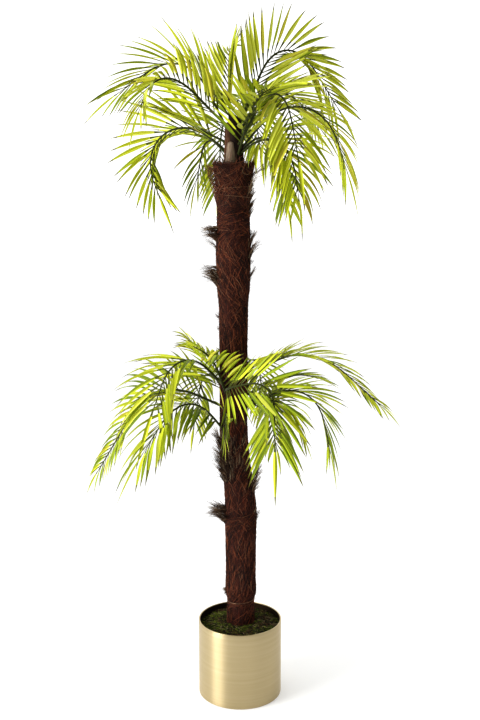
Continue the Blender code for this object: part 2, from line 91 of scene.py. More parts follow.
UPPER_FRONDS = [Frond(*row) for row in (
    (1.519, 161, 62, 0.354, 96, 0.54, 0.64, 13, 21, -5, 47, 22, 0.28, 0.185, 0.131, 0.18),
    (1.516, 201, 40, 0.339, 91, 0.60, 0.76, 51, 45, -12, 39, 22, 0.64, 0.143, 0.108, 0.18),
    (1.454, 173, 46, 0.319, 161, 0.52, 1.09, 2, 44, 12, 37, 16, 0.15, 0.185, 0.100, 0.20),
    (1.452, 138, 35, 0.170, 112, 0.38, 0.44, 18, 15, -26, 66, 6, 0.36, 0.121, 0.095, 0.15),
    (1.527, 33, 63, 0.451, 113, 0.52, 0.54, -1, 64, 24, 41, 19, 0.15, 0.175, 0.113, 0.15),
    (1.474, 315, 50, 0.362, 113, 0.49, 0.64, -30, 15, -11, 66, -4, 0.43, 0.185, 0.134, 0.15),
    (1.464, 3, 50, 0.372, 121, 0.51, 0.85, 14, 2, 0, 66, 3, 0.68, 0.148, 0.132, 0.18),
    (1.445, 320, 31, 0.264, 111, 0.47, 0.96, -7, 36, -39, 66, 4, 0.90, 0.185, 0.101, 0.34),
    (1.515, 110, 83, 0.229, 74, 0.81, 0.63, -39, -74, -7, 36, 27, 0.15, 0.185, 0.066, 0.15),
    (1.475, 180, 25, 0.181, 5, 0.80, 0.97, 31, -3, 3, 38, 8, 0.27, 0.185, 0.065, 0.20),
    (1.505, 38, 48, 0.330, 90, 0.50, 0.70, 0, 0, 0, 50, 20, 0.35, 0.160, 0.100, 0.18),
    (1.495, 75, 45, 0.360, 105, 0.50, 0.60, 0, 0, 0, 50, 5, 0.35, 0.160, 0.100, 0.18),
    (1.470, 100, 35, 0.340, 110, 0.45, 0.60, 0, 0, 0, 50, 10, 0.35, 0.160, 0.100, 0.18),
    (1.450, 50, 30, 0.310, 105, 0.42, 0.65, 0, 0, 0, 50, 10, 0.35, 0.160, 0.100, 0.18),
    (1.452, 305, 63, 0.214, 57, 0.60, 0.81, -14, -11, 8, 58, 24, 0.48, 0.117, 0.150, 0.15),
)]

LOWER_FRONDS = [Frond(*row) for row in (
    (0.863, 213, 44, 0.275, 109, 0.52, 0.75, 11, 28, -61, 66, 0, 0.58, 0.183, 0.150, 0.15),
    (0.798, 173, 23, 0.451, 82, 0.37, 0.57, -3, -17, -32, 50, 26, 0.67, 0.185, 0.071, 0.15),
    (0.745, 218, 48, 0.309, 92, 0.46, 0.75, 13, -27, 52, 58, -15, 0.89, 0.185, 0.143, 0.15),
    (0.852, 345, 52, 0.416, 91, 0.39, 0.83, -10, -2, 6, 48, 6, 0.33, 0.147, 0.068, 0.15),
    (0.842, 253, 16, 0.364, 105, 0.65, 0.33, 132, -106, 20, 66, 20, 0.15, 0.111, 0.147, 0.10),
    (0.806, 336, 23, 0.315, 101, 0.55, 0.64, 9, -1, -28, 64, 11, 0.38, 0.185, 0.114, 0.15),
    (0.851, 125, 34, 0.160, -15, 0.72, 0.15, 29, 14, 15, 38, 32, 0.89, 0.150, 0.065, 0.12),
    (0.825, 20, 20, 0.206, 42, 0.75, 0.60, -14, -14, 8, 41, 9, 0.15, 0.096, 0.065, 0.15),
    (0.752, 245, 68, 0.129, 151, 0.48, 0.58, 45, -42, -25, 53, 6, 0.32, 0.085, 0.065, 0.12),
    (0.798, 354, 16, 0.181, 81, 0.51, 0.68, -12, 17, -24, 62, 6, 0.90, 0.153, 0.083, 0.15),
    (0.845, 236, 60, 0.190, 37, 0.57, 0.71, 4, -8, 6, 53, 20, 0.60, 0.128, 0.065, 0.10),
    (0.845, 70, 35, 0.330, 105, 0.42, 0.60, 0, 0, 0, 50, 5, 0.60, 0.150, 0.090, 0.15),
    (0.815, 115, 25, 0.340, 95, 0.45, 0.60, 0, 0, 0, 50, 10, 0.60, 0.150, 0.090, 0.15),
    (0.760, 60, 30, 0.310, 100, 0.40, 0.60, 0, 0, 0, 50, 10, 0.60, 0.150, 0.090, 0.15),
)]

SEED = 7


def linear(colour):
    """Linear colour from 0 to 255 display values."""
    values = []
    for value in colour:
        share = value / 255.0
        values.append(share / 12.92 if share <= 0.04045 else ((share + 0.055) / 1.055) ** 2.4)
    return (*values, 1.0)


def smooth(low, high, value):
    share = min(1.0, max(0.0, (value - low) / (high - low)))
    return share * share * (3.0 - 2.0 * share)


def between(first, second, share):
    return first + (second - first) * share


def around(azimuth):
    turn = math.radians(azimuth)
    return Vector((math.cos(turn), math.sin(turn), 0.0))


def trunk_axis(height):
    return Vector((FOOT_X - LEAN * smooth(LEAN_START, LEAN_END, height), 0.0, height))


def trunk_radius(height):
    for (low, low_radius), (high, high_radius) in zip(TRUNK_PROFILE, TRUNK_PROFILE[1:]):
        if height <= high:
            return between(low_radius, high_radius, smooth(low, high, height))
    return TRUNK_PROFILE[-1][1]


def post_radius(height):
    return between(POST_FOOT_RADIUS, POST_TOP_RADIUS, (height - TRUNK_TOP) / (POST_TOP - TRUNK_TOP))


# Materials

EVEN = (1.0, 1.0, 1.0)
NOISE_ROUGHNESS = 0.6

# Plain tints with fine grain
Finish = namedtuple("Finish", "roughness specular grain depth")
LEAF_FINISH = Finish(0.50, 0.20, 260.0, 0.0004)
STALK_FINISH = Finish(0.50, 0.25, 260.0, 0.0004)
TIP_FINISH = Finish(0.60, 0.20, 260.0, 0.0004)
RIB_FINISH = Finish(0.50, 0.20, 300.0, 0.0004)
COIR_FINISH = Finish(0.72, 0.30, 900.0, 0.0003)
TUFT_FINISH = Finish(0.75, 0.25, 900.0, 0.0003)
SPRIG_FINISH = Finish(0.90, 0.15, 300.0, 0.0010)
INNER_WALL_FINISH = Finish(0.55, 0.30, 300.0, 0.0003)
GRAIN_ROUGHNESS = 0.08
GRAIN_BUMP = 0.15

# Grounds with a stretched noise in their colour and bump
Ground = namedtuple("Ground", "roughness specular stretch scale detail stops strength depth")
BARK_STOPS = ((0.30, (28, 14, 11)), (0.55, (62, 28, 19)), (0.75, (98, 46, 28)))
BARK_GROUND = Ground(0.92, 0.20, (260.0, 260.0, 40.0), 1.0, 5.0, BARK_STOPS, 0.8, 0.0015)
MOSS_STOPS = ((0.35, (10, 9, 6)), (0.50, (26, 26, 14)), (0.65, (48, 40, 24)))
MOSS_GROUND = Ground(0.95, 0.15, EVEN, 60.0, 6.0, MOSS_STOPS, 1.0, 0.0040)

# Brushed brass: stretch, scale and detail of its fine level lines and broad bands
BRASS_LINES = ((3.0, 3.0, 900.0), 1.0, 3.0)
BRASS_BANDS = ((4.0, 4.0, 160.0), 1.0, 2.0)
BRASS_STOPS = ((0.3, (188, 171, 133)), (0.7, (194, 178, 141)))
BRASS_ROUGHNESS = (0.34, 0.46)
BRASS_BUMP = (0.10, 0.0002)
BRASS_GRAIN = {"Anisotropic": 0.90, "Anisotropic Rotation": 0.25}


def set_inputs(node, values):
    for name, value in values.items():
        node.inputs[name].default_value = value


def nodes_of(name, roughness, metallic=0.0, specular=0.5):
    material = bpy.data.materials.new(name)
    material.use_nodes = True
    tree = material.node_tree
    shader = tree.nodes["Principled BSDF"]
    set_inputs(shader, {"Roughness": roughness, "Metallic": metallic, "Specular IOR Level": specular})
    return material, tree, shader


def noise_texture(tree, stretch, scale, detail=4.0):
    """Noise on the object's coordinates, stretched by a scale for each axis."""
    source = tree.nodes.new("ShaderNodeTexCoord")
    mapping = tree.nodes.new("ShaderNodeMapping")
    set_inputs(mapping, {"Scale": stretch})
    tree.links.new(source.outputs["Object"], mapping.inputs["Vector"])
    texture = tree.nodes.new("ShaderNodeTexNoise")
    set_inputs(texture, {"Scale": scale, "Detail": detail, "Roughness": NOISE_ROUGHNESS})
    tree.links.new(mapping.outputs["Vector"], texture.inputs["Vector"])
    return texture.outputs["Fac"]


def bump(tree, shader, height, strength, distance):
    node = tree.nodes.new("ShaderNodeBump")
    set_inputs(node, {"Strength": strength, "Distance": distance})
    tree.links.new(height, node.inputs["Height"])
    tree.links.new(node.outputs["Normal"], shader.inputs["Normal"])


def colour_ramp(tree, shader, value, stops):
    """Base colour from (place, colour) stops."""
    node = tree.nodes.new("ShaderNodeValToRGB")
    elements = node.color_ramp.elements
    while len(elements) < len(stops):
        elements.new(0.5)
    for element, (place, colour) in zip(elements, stops):
        element.position = place
        element.color = linear(colour)
    tree.links.new(value, node.inputs["Fac"])
    tree.links.new(node.outputs["Color"], shader.inputs["Base Color"])


def roughness_range(tree, shader, value, low, high):
    node = tree.nodes.new("ShaderNodeMapRange")
    set_inputs(node, {"To Min": low, "To Max": high})
    tree.links.new(value, node.inputs["Value"])
    tree.links.new(node.outputs["Result"], shader.inputs["Roughness"])


def plain_tint(name, colour, finish):
    """A plain base colour with fine grain in its roughness and bump."""
    material, tree, shader = nodes_of(name, finish.roughness, 0.0, finish.specular)
    set_inputs(shader, {"Base Color": linear(colour)})
    grain = noise_texture(tree, EVEN, finish.grain)
    low = finish.roughness - GRAIN_ROUGHNESS
    roughness_range(tree, shader, grain, low, finish.roughness + GRAIN_ROUGHNESS)
    bump(tree, shader, grain, GRAIN_BUMP, finish.depth)
    return material


def plain_tints(kind, tints, finish):
    return [plain_tint(f"{kind}_{number}", tint, finish) for number, tint in enumerate(tints)]


def ground_material(name, ground):
    """A colour that wanders with a noise, and the same noise as a bump."""
    material, tree, shader = nodes_of(name, ground.roughness, 0.0, ground.specular)
    patches = noise_texture(tree, ground.stretch, ground.scale, ground.detail)
    colour_ramp(tree, shader, patches, ground.stops)
    bump(tree, shader, patches, ground.strength, ground.depth)
    return material


def brass_material():
    material, tree, shader = nodes_of("brushed_brass", 0.40, 1.0)
    lines = noise_texture(tree, *BRASS_LINES)
    bands = noise_texture(tree, *BRASS_BANDS)
    colour_ramp(tree, shader, bands, BRASS_STOPS)
    roughness_range(tree, shader, lines, *BRASS_ROUGHNESS)
    set_inputs(shader, BRASS_GRAIN)
    tangent = tree.nodes.new("ShaderNodeTangent")
    tangent.direction_type = "RADIAL"
    tangent.axis = "Z"
    tree.links.new(tangent.outputs["Tangent"], shader.inputs["Tangent"])
    bump(tree, shader, lines, *BRASS_BUMP)
    return material


# Meshes

def put_object(name, data):
    item = bpy.data.objects.new(name, data)
    bpy.context.collection.objects.link(item)
    return item


def put_piece(name, points, faces, materials, tints=None):
    """Make one joined, smooth piece that rides on the root body."""
    mesh = bpy.data.meshes.new(name)
    mesh.from_pydata([tuple(point) for point in points], [], faces)
    for material in materials:
        mesh.materials.append(material)
    if tints is not None:
        mesh.polygons.foreach_set("material_index", np.asarray(tints, np.int32))
    mesh.polygons.foreach_set("use_smooth", np.ones(len(mesh.polygons), bool))
    mesh.update()
    piece = put_object(name, mesh)
    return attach(piece, "root")


def ring_quads(rows, sides, first=0):
    """Quads between rings of points that follow each other upwards."""
    faces = []
    for row in range(rows):
        low = first + row * sides
        high = low + sides
        for side in range(sides):
            after = (side + 1) % sides
            faces.append((low + side, low + after, high + after, high + side))
    return faces


def unit(vectors):
    return vectors / np.maximum(np.linalg.norm(vectors, axis=-1, keepdims=True), 1e-9)


def strand_arrays(lines, radii, sides):
    """Points and quads of many thin tubes, and quads of each. lines is (strands, points, 3)."""
    strands, count, _ = lines.shape
    tangents = unit(np.gradient(lines, axis=1))
    mean = unit(tangents.mean(axis=1))
    helper = np.where(np.abs(mean[:, 2:]) < 0.8, (0.0, 0.0, 1.0), (1.0, 0.0, 0.0))
    first = unit(np.cross(mean, helper))[:, None, :]
    normal = unit(first - tangents * (tangents * first).sum(-1, keepdims=True))
    other = np.cross(tangents, normal)
    turns = (np.arange(sides) * math.tau / sides)[:, None]
    ring = normal[:, :, None, :] * np.cos(turns) + other[:, :, None, :] * np.sin(turns)
    points = lines[:, :, None, :] + ring * radii[:, :, None, None]
    index = np.arange(strands * count * sides).reshape(strands, count, sides)
    after = np.roll(index, -1, axis=2)
    quads = np.stack((index[:, :-1], after[:, :-1], after[:, 1:], index[:, 1:]), axis=-1)
    return points.reshape(-1, 3), quads.reshape(-1, 4), (count - 1) * sides


def put_strands(name, lines, radii, tints, materials, sides=3):
    points, quads, each = strand_arrays(lines, radii, sides)
    return put_piece(name, points.tolist(), quads.tolist(), materials, np.repeat(tints, each))


def taper(points, radius, tip=0.25):
    """Radii along each strand that shrink from its root to a share at its tip."""
    share = np.linspace(0.0, 1.0, points)
    return radius[:, None] * (1.0 - (1.0 - tip) * share)[None, :]


def grow(root, lengths, way, turn, climb, curl, points):
    """Strands that leave their roots and bend evenly: azimuth and its change along
    the strand, climb above level and its change."""
    lines = np.zeros((len(root), points, 3))
    lines[:, 0] = root
    for step in range(1, points):
        share = step / (points - 1)
        level = way + turn * share
        rise = climb + curl * share
        flat = np.cos(rise)
        move = np.stack((np.cos(level) * flat, np.sin(level) * flat, np.sin(rise)), axis=-1)
        lines[:, step] = lines[:, step - 1] + move * (lengths / (points - 1))[:, None]
    return lines


# Pot, whose inner wall above the moss has a dark brown that is painted shade
POT_SIDES = 160
EDGE_STEPS = 6
LIP_STEPS = 8
WALL_ROWS = (0.02, 0.10, POT_HEIGHT - 0.02)
POT_MIDDLE = 0.0001
LIP_SLOPE = 0.001
INNER_WALL_DEPTH = 0.02
INNER_WALL_ROWS = 3
# Dark brown of the pot's inner wall above the moss: painted shade inside the pot
INNER_WALL_SHADE_TINT = (62, 48, 32)


def pot_profile():
    """Radius and height of each row, from the middle underneath to the inner wall's foot."""
    inside = POT_RADIUS - POT_WALL
    rows = [(POT_MIDDLE, 0.0), (POT_RADIUS - POT_EDGE, 0.0)]
    for step in range(1, EDGE_STEPS + 1):
        turn = math.radians(90.0 * step / EDGE_STEPS)
        bend = POT_RADIUS - POT_EDGE + POT_EDGE * math.sin(turn)
        rows.append((bend, POT_EDGE - POT_EDGE * math.cos(turn)))
    rows += [(POT_RADIUS, height) for height in WALL_ROWS]
    half = POT_LIP / 2.0
    rise = half / 2.0
    for step in range(LIP_STEPS + 1):
        turn = math.radians(180.0 * step / LIP_STEPS)
        across = POT_RADIUS - half + half * math.cos(turn)
        rows.append((across, POT_HEIGHT - rise + rise * math.sin(turn)))
    under = POT_HEIGHT - POT_LIP_DEPTH
    rows += [(POT_RADIUS - POT_LIP, under), (inside, under - LIP_SLOPE)]
    return rows + [(inside, FILL_EDGE_HEIGHT - INNER_WALL_DEPTH)]


def make_pot():
    rows = pot_profile()
    points = []
    for radius, height in rows:
        for side in range(POT_SIDES):
            points.append(around(360.0 * side / POT_SIDES) * radius + Vector((0.0, 0.0, height)))
    faces = ring_quads(len(rows) - 1, POT_SIDES)
    inner_wall_faces = INNER_WALL_ROWS * POT_SIDES
    tints = [0] * (len(faces) - inner_wall_faces) + [1] * inner_wall_faces
    # The inner wall above the moss takes a dark brown that is painted shade
    inner_shade = plain_tint("pot_inner_painted_shade", INNER_WALL_SHADE_TINT, INNER_WALL_FINISH)
    pot = put_piece("pot_shell", points, faces, [brass_material(), inner_shade], tints)
    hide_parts("pot")


# Moss, with clumps and crumbs by scale and layer of the noise, and height
MOSS_RADIUS = POT_RADIUS - POT_WALL - SEAT
MOSS_RINGS = 46
MOSS_SIDES = 140
MOSS_MIDDLE = 0.0005
MOSS_LUMPS = ((45.0, 3.0, 0.0040), (160.0, 9.0, 0.0016))

MOSS_TINTS = ((72, 82, 26), (104, 112, 40), (40, 40, 20), (78, 54, 38), (176, 160, 124))
# Shares of the tints in a green and a brown patch. The last tint is straw
MOSS_GREEN = (0.40, 0.24, 0.22, 0.08, 0.06)
MOSS_BROWN = (0.12, 0.06, 0.36, 0.38, 0.08)
# A patch is green where its noise exceeds a level, which rises to the viewer's right
PATCH_SCALE = 30.0
PATCH_LAYER = 5.0
PATCH_LEVEL = -0.05
PATCH_DRIFT = 2.5

# Sprigs, and longer straws among them
SPRIGS = 6400
SPRIG_POINTS = 5
SPRIG_SINK = 0.001
# A sprig bends down along its length by this many times its climb
SPRIG_FALL = 1.5
SPRIG_REACH = MOSS_RADIUS - 0.001
SPRIG_TOP = POT_HEIGHT + 0.002


def moss_height(x, y):
    edge = smooth(FILL_FLAT_RADIUS, POT_RADIUS, math.hypot(x, y))
    height = between(FILL_CENTRE_HEIGHT, FILL_EDGE_HEIGHT, edge)
    for scale, layer, size in MOSS_LUMPS:
        height += noise.noise(Vector((x * scale, y * scale, layer))) * size
    return height


def make_moss_bed():
    points = []
    for ring in range(MOSS_RINGS + 1):
        radius = max(MOSS_MIDDLE, MOSS_RADIUS * ring / MOSS_RINGS)
        for side in range(MOSS_SIDES):
            spot = around(360.0 * side / MOSS_SIDES) * radius
            points.append(Vector((spot.x, spot.y, moss_height(spot.x, spot.y))))
    # The rings follow each other outwards here, so each quad is turned over
    faces = [(a, d, c, b) for a, b, c, d in ring_quads(MOSS_RINGS, MOSS_SIDES)]
    bed = put_piece("moss_bed", points, faces, [ground_material("moss_ground", MOSS_GROUND)])
    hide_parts("pot_fill")


def in_green_patch(x, y):
    wander = noise.noise(Vector((x * PATCH_SCALE, y * PATCH_SCALE, PATCH_LAYER)))
    return wander - x * PATCH_DRIFT > PATCH_LEVEL


def make_sprigs(rng):
    materials = plain_tints("moss", MOSS_TINTS, SPRIG_FINISH)
    radius = MOSS_RADIUS * np.sqrt(rng.uniform(0.05, 0.94, SPRIGS))
    turn = rng.uniform(0.0, math.tau, SPRIGS)
    x = radius * np.cos(turn)
    y = radius * np.sin(turn)
    foot = np.array([moss_height(a, b) for a, b in zip(x, y)]) - SPRIG_SINK
    green = np.array([in_green_patch(a, b) for a, b in zip(x, y)])
    greens = rng.choice(len(MOSS_TINTS), SPRIGS, p=MOSS_GREEN)
    tints = np.where(green, greens, rng.choice(len(MOSS_TINTS), SPRIGS, p=MOSS_BROWN))
    straw = tints == len(MOSS_TINTS) - 1
    length = np.where(straw, rng.uniform(0.010, 0.026, SPRIGS), rng.uniform(0.005, 0.013, SPRIGS))
    heading = rng.uniform(0.0, math.tau, SPRIGS)
    climb = np.where(straw, rng.uniform(0.0, 0.35, SPRIGS), rng.uniform(0.2, 1.3, SPRIGS))
    bend = rng.normal(0.0, 0.9, SPRIGS)
    root = np.stack((x, y, foot), axis=-1)
    lines = grow(root, length, heading, bend, climb, -SPRIG_FALL * climb, SPRIG_POINTS)
    radii = np.where(straw, 0.00045, rng.uniform(0.0005, 0.0013, SPRIGS))
    reach = np.maximum(np.hypot(lines[..., 0], lines[..., 1]), 1e-6)
    lines[..., :2] *= np.minimum(1.0, SPRIG_REACH / reach)[..., None]
    lines[..., 2] = np.minimum(lines[..., 2], SPRIG_TOP)
    moss = put_strands("moss_sprigs", lines, taper(SPRIG_POINTS, radii), tints, materials)


# Trunk. Its fibre sleeve ends above the solid trunk and opens outwards
SLEEVE_TOP = 1.423
FLARE_START = 1.320
FLARE = 0.0080

# Height and slope of the strands from upright
STRAND_SLOPES = (
    (0.200, 12), (0.240, 30), (0.262, 74), (0.285, 40),
    (0.330, 10), (0.440, 16), (0.500, 60), (0.540, 22),
    (0.620, 40), (0.700, 8), (0.900, -6), (1.000, -12),
    (1.060, -40), (1.110, -34), (1.160, -28), (1.200, -44),
    (1.225, 50), (1.260, 64), (1.335, 70), (1.360, 38),
    (1.405, 34), (1.416, 78), (1.423, 84),
)

# Dark ground between the strands, and the height of its lumps and ridges with the
# scale of their noise round and along the trunk
BARK_SIDES = 144
BARK_RINGS = 380
BARK_FOOT = FILL_CENTRE_HEIGHT - 0.004
BARK_TOP = SLEEVE_TOP - 0.005
BARK_DEPTH = 0.0022
LUMP_HEIGHT = 0.0022
LUMP_ROUND = 1.6
LUMP_ALONG = 26.0
RIDGE_HEIGHT = 0.0016
RIDGE_ROUND = 520.0
RIDGE_ALONG = 60.0

SAMPLED_HEIGHTS = np.linspace(0.195, SLEEVE_TOP, 400)
SAMPLED_RADII = np.array([trunk_radius(height) for height in SAMPLED_HEIGHTS])


def sleeve_radii(heights):
    share = np.clip((heights - FLARE_START) / (SLEEVE_TOP - FLARE_START), 0.0, 1.0)
    return np.interp(heights, SAMPLED_HEIGHTS, SAMPLED_RADII) + FLARE * share * share


def axis_offsets(heights):
    share = np.clip((heights - LEAN_START) / (LEAN_END - LEAN_START), 0.0, 1.0)
    return FOOT_X - LEAN * share * share * (3.0 - 2.0 * share)


def on_trunk(azimuths, heights, stand):
    """Points at a distance outside the sleeve's profile; azimuths in radians."""
    radii = sleeve_radii(heights) + stand
    x = axis_offsets(heights) + radii * np.cos(azimuths)
    return np.stack((x, radii * np.sin(azimuths), heights), axis=-1)


def slope_at(heights):
    return np.radians(np.interp(heights, *zip(*STRAND_SLOPES)))


def make_bark():
    points = []
    for ring in range(BARK_RINGS + 1):
        height = between(BARK_FOOT, BARK_TOP, ring / BARK_RINGS)
        centre = trunk_axis(height)
        radius = float(sleeve_radii(height))
        slope = float(slope_at(height))
        for side in range(BARK_SIDES):
            azimuth = 360.0 * side / BARK_SIDES
            out = around(azimuth)
            along = height * math.cos(slope) + math.radians(azimuth) * radius * math.sin(slope)
            lumps = noise.noise(Vector((out.x * LUMP_ROUND, out.y * LUMP_ROUND, height * LUMP_ALONG)))
            across = (out.x * radius * RIDGE_ROUND, out.y * radius * RIDGE_ROUND)
            ridges = noise.noise(Vector((*across, along * RIDGE_ALONG)))
            relief = LUMP_HEIGHT * lumps + RIDGE_HEIGHT * (1.0 - 2.0 * abs(ridges))
            points.append(centre + out * (radius + (relief - BARK_DEPTH)))
    faces = ring_quads(BARK_RINGS, BARK_SIDES)
    top = BARK_RINGS * BARK_SIDES
    faces.append(tuple(range(top, top + BARK_SIDES)))
    bark = put_piece("trunk_bark", points, faces, [ground_material("coir_ground", BARK_GROUND)])
    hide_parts("trunk")


# Coir strands that lie on the trunk by layers, some of them across the rest
COIR_TINTS = ((80, 40, 26), (134, 76, 49), (48, 22, 16), (13, 7, 5), (150, 104, 76))
COIR_SHARES = (0.30, 0.20, 0.22, 0.25, 0.03)
COIR_STRANDS = 12600
COIR_POINTS = 6
COIR_PIECES = 3
COIR_FOOT = FILL_CENTRE_HEIGHT - 0.002
# Spread of their slope in radians, and share that crosses the rest
COIR_SLOPE = 0.24
COIR_CROSSING = 0.24
# Depth of the tucked ends, and height of the waves and their turn in radians
COIR_TUCK = 0.0012
COIR_WAVE = 0.0006
COIR_TURN = 14.0


def make_coir(rng, materials):
    count = COIR_STRANDS
    heights = rng.uniform(FILL_CENTRE_HEIGHT + 0.004, SLEEVE_TOP, count)
    azimuths = rng.uniform(0.0, math.tau, count)
    length = rng.uniform(0.022, 0.060, count)
    slope = slope_at(heights) + rng.normal(0.0, COIR_SLOPE, count)
    slope = np.where(rng.uniform(size=count) < COIR_CROSSING, -slope, slope)
    wave = rng.uniform(0.0, math.tau, count)
    bend = rng.normal(0.0, 0.22, count)
    stand = rng.uniform(-0.0012, 0.0010, count)
    share = np.linspace(-0.5, 0.5, COIR_POINTS)
    middle = COIR_POINTS // 2
    way = slope[:, None] + bend[:, None] * share
    step = length[:, None] / (COIR_POINTS - 1)
    rise = np.cumsum(np.cos(way) * step, axis=1)
    run = np.cumsum(np.sin(way) * step, axis=1)
    edge = SLEEVE_TOP + rng.uniform(-0.006, 0.001, count)
    high = heights[:, None] + rise - rise[:, middle, None]
    high = np.clip(high, COIR_FOOT, edge[:, None])
    turn = azimuths[:, None] + (run - run[:, middle, None]) / sleeve_radii(high)
    waves = COIR_WAVE * np.sin(wave[:, None] + COIR_TURN * share)
    out = stand[:, None] + waves - COIR_TUCK * (2.0 * share) ** 2
    lines = on_trunk(turn, high, out)
    radius = 0.00024 + 0.00036 * rng.uniform(size=count) ** 2.0
    tints = rng.choice(len(COIR_TINTS), count, p=COIR_SHARES)
    for number in range(COIR_PIECES):
        part = slice(number, None, COIR_PIECES)
        radii = np.repeat(radius[part][:, None], COIR_POINTS, axis=1)
        piece = put_strands(f"coir_strands_{number + 1}", lines[part], radii, tints[part], materials)


def hairs(rng, heights, azimuths, lengths, climb, curl, points, drift, stand=-0.001):
    """Loose fibres that leave the trunk. drift turns them from straight outwards."""
    root = on_trunk(azimuths, heights, stand)
    turn = rng.normal(0.0, 0.35, len(heights))
    return grow(root, lengths, azimuths + drift, turn, climb, curl, points)


# Short fuzz all over the trunk
FUZZ_HAIRS = 1900
FUZZ_POINTS = 4


def make_fuzz(rng, materials):
    count = FUZZ_HAIRS
    heights = rng.uniform(0.22, SLEEVE_TOP, count)
    azimuths = rng.uniform(0.0, math.tau, count)
    lengths = rng.uniform(0.004, 0.014, count)
    climb = rng.uniform(-0.9, 1.1, count)
    drift = rng.normal(0.0, 0.5, count)
    curl = rng.normal(0.0, 0.6, count)
    lines = hairs(rng, heights, azimuths, lengths, climb, curl, FUZZ_POINTS, drift)
    radii = taper(FUZZ_POINTS, rng.uniform(0.00018, 0.00032, count))
    tints = rng.choice(len(COIR_TINTS), count, p=COIR_SHARES)
    put_strands("coir_fuzz", lines, radii, tints, materials)


# Tufts by their CAD node. Low and high are the heights of the roots, and the lower
# roots of a gathered tuft climb more steeply than its upper ones
Tuft = namedtuple("Tuft", "node azimuth arc low high hairs length climb gather curl")
TUFTS = [Tuft(*row) for row in (
    ("fibre_tuft_1", 2, 50, 1.270, 1.350, 210, 0.044, 1.20, 0.2, -0.1),
    ("fibre_tuft_2", 188, 56, 1.205, 1.264, 230, 0.048, 0.60, 1.3, -0.4),
    ("fibre_tuft_3", 190, 64, 1.100, 1.162, 250, 0.052, 0.62, 1.2, -0.1),
    ("fibre_tuft_4", 208, 140, 0.590, 0.712, 1000, 0.046, 0.92, 0.2, 0.1),
    ("fibre_tuft_5", 345, 60, 0.565, 0.610, 190, 0.052, 0.85, 0.3, 0.2),
    ("fibre_tuft_6", 188, 70, 0.474, 0.530, 340, 0.060, 0.38, 0.9, -0.2),
)]
# Smaller bunches with no node of their own
SMALL_TUFTS = [Tuft(*row) for row in (
    (None, 352, 44, 1.180, 1.228, 130, 0.050, 1.15, 0.2, -0.1),
    (None, 185, 30, 1.000, 1.040, 30, 0.014, 0.5, 0.0, 0.2),
    (None, 60, 80, 1.110, 1.170, 160, 0.044, 0.8, 0.6, 0.2),
    (None, 90, 90, 0.560, 0.620, 160, 0.046, 0.8, 0.6, 0.2),
    (None, 345, 40, 0.480, 0.520, 40, 0.028, 0.8, 0.0, 0.2),
    (None, 180, 50, 0.285, 0.310, 50, 0.012, -0.2, 0.0, -0.4),
    (None, 350, 60, 1.330, 1.400, 40, 0.080, 0.85, 0.0, 0.1),
)]
TUFT_TINTS = ((80, 56, 42), (34, 22, 16), (122, 98, 74), (172, 152, 124))
TUFT_SHARES = (0.36, 0.38, 0.18, 0.08)
TUFT_POINTS = 7

# The hairs of a lock share a root and a direction. Pairs of spreads are between
# locks and between the hairs of one
LOCK_HAIRS = 9
FEWEST_LOCKS = 3


def tuft_lines(rng, tuft):
    count = tuft.hairs
    locks = max(FEWEST_LOCKS, count // LOCK_HAIRS)
    lock = rng.integers(0, locks, count)

    def by_lock(middle, lock_spread, hair_spread):
        shared = middle + rng.normal(0.0, lock_spread, locks)[lock]
        return shared + rng.normal(0.0, hair_spread, count)

    place = rng.uniform(0.0, 1.0, locks)[lock]
    heights = between(tuft.low, tuft.high, place) + rng.normal(0.0, 0.002, count)
    azimuths = by_lock(math.radians(tuft.azimuth), math.radians(tuft.arc / 4.0), 0.05)
    drift = by_lock(0.0, 0.35, 0.08)
    lengths = tuft.length * rng.uniform(0.6, 1.1, locks)[lock]
    lengths *= rng.uniform(0.55, 1.0, count)
    climb = by_lock(tuft.climb + tuft.gather * (0.5 - place), 0.14, 0.08)
    curl = by_lock(tuft.curl, 0.30, 0.12)
    return hairs(rng, heights, azimuths, lengths, climb, curl, TUFT_POINTS, drift)


def make_tufts(rng, materials):
    lines = []
    radii = []
    tints = []
    for tuft in TUFTS + SMALL_TUFTS:
        lines.append(tuft_lines(rng, tuft))
        radii.append(taper(TUFT_POINTS, rng.uniform(0.00036, 0.00070, tuft.hairs), 0.35))
        tints.append(rng.choice(len(TUFT_TINTS), tuft.hairs, p=TUFT_SHARES))
    arrays = [np.concatenate(parts) for parts in (lines, radii, tints)]
    piece = put_strands("tuft_hairs", *arrays, materials)
    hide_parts(*(tuft.node for tuft in TUFTS))


# The torn sleeve round the trunk's top: a loose net on a cone that opens most at
# the viewer's left, where its edge is lower, and hairs that stand on the edge
NET_STRANDS = 1100
NET_FOOT = 1.310
NET_TOP = 1.424
NET_FLARE = 0.035
NET_LEAST_FLARE = 0.15
NET_CURVE = 1.1
NET_DROP = 0.014

RIM_HAIRS = 260
# Shares of the coir's tints, then of the tufts'
RIM_SHARES = (0.30, 0.18, 0.22, 0.12, 0.03, 0.07, 0.05, 0.02, 0.01)


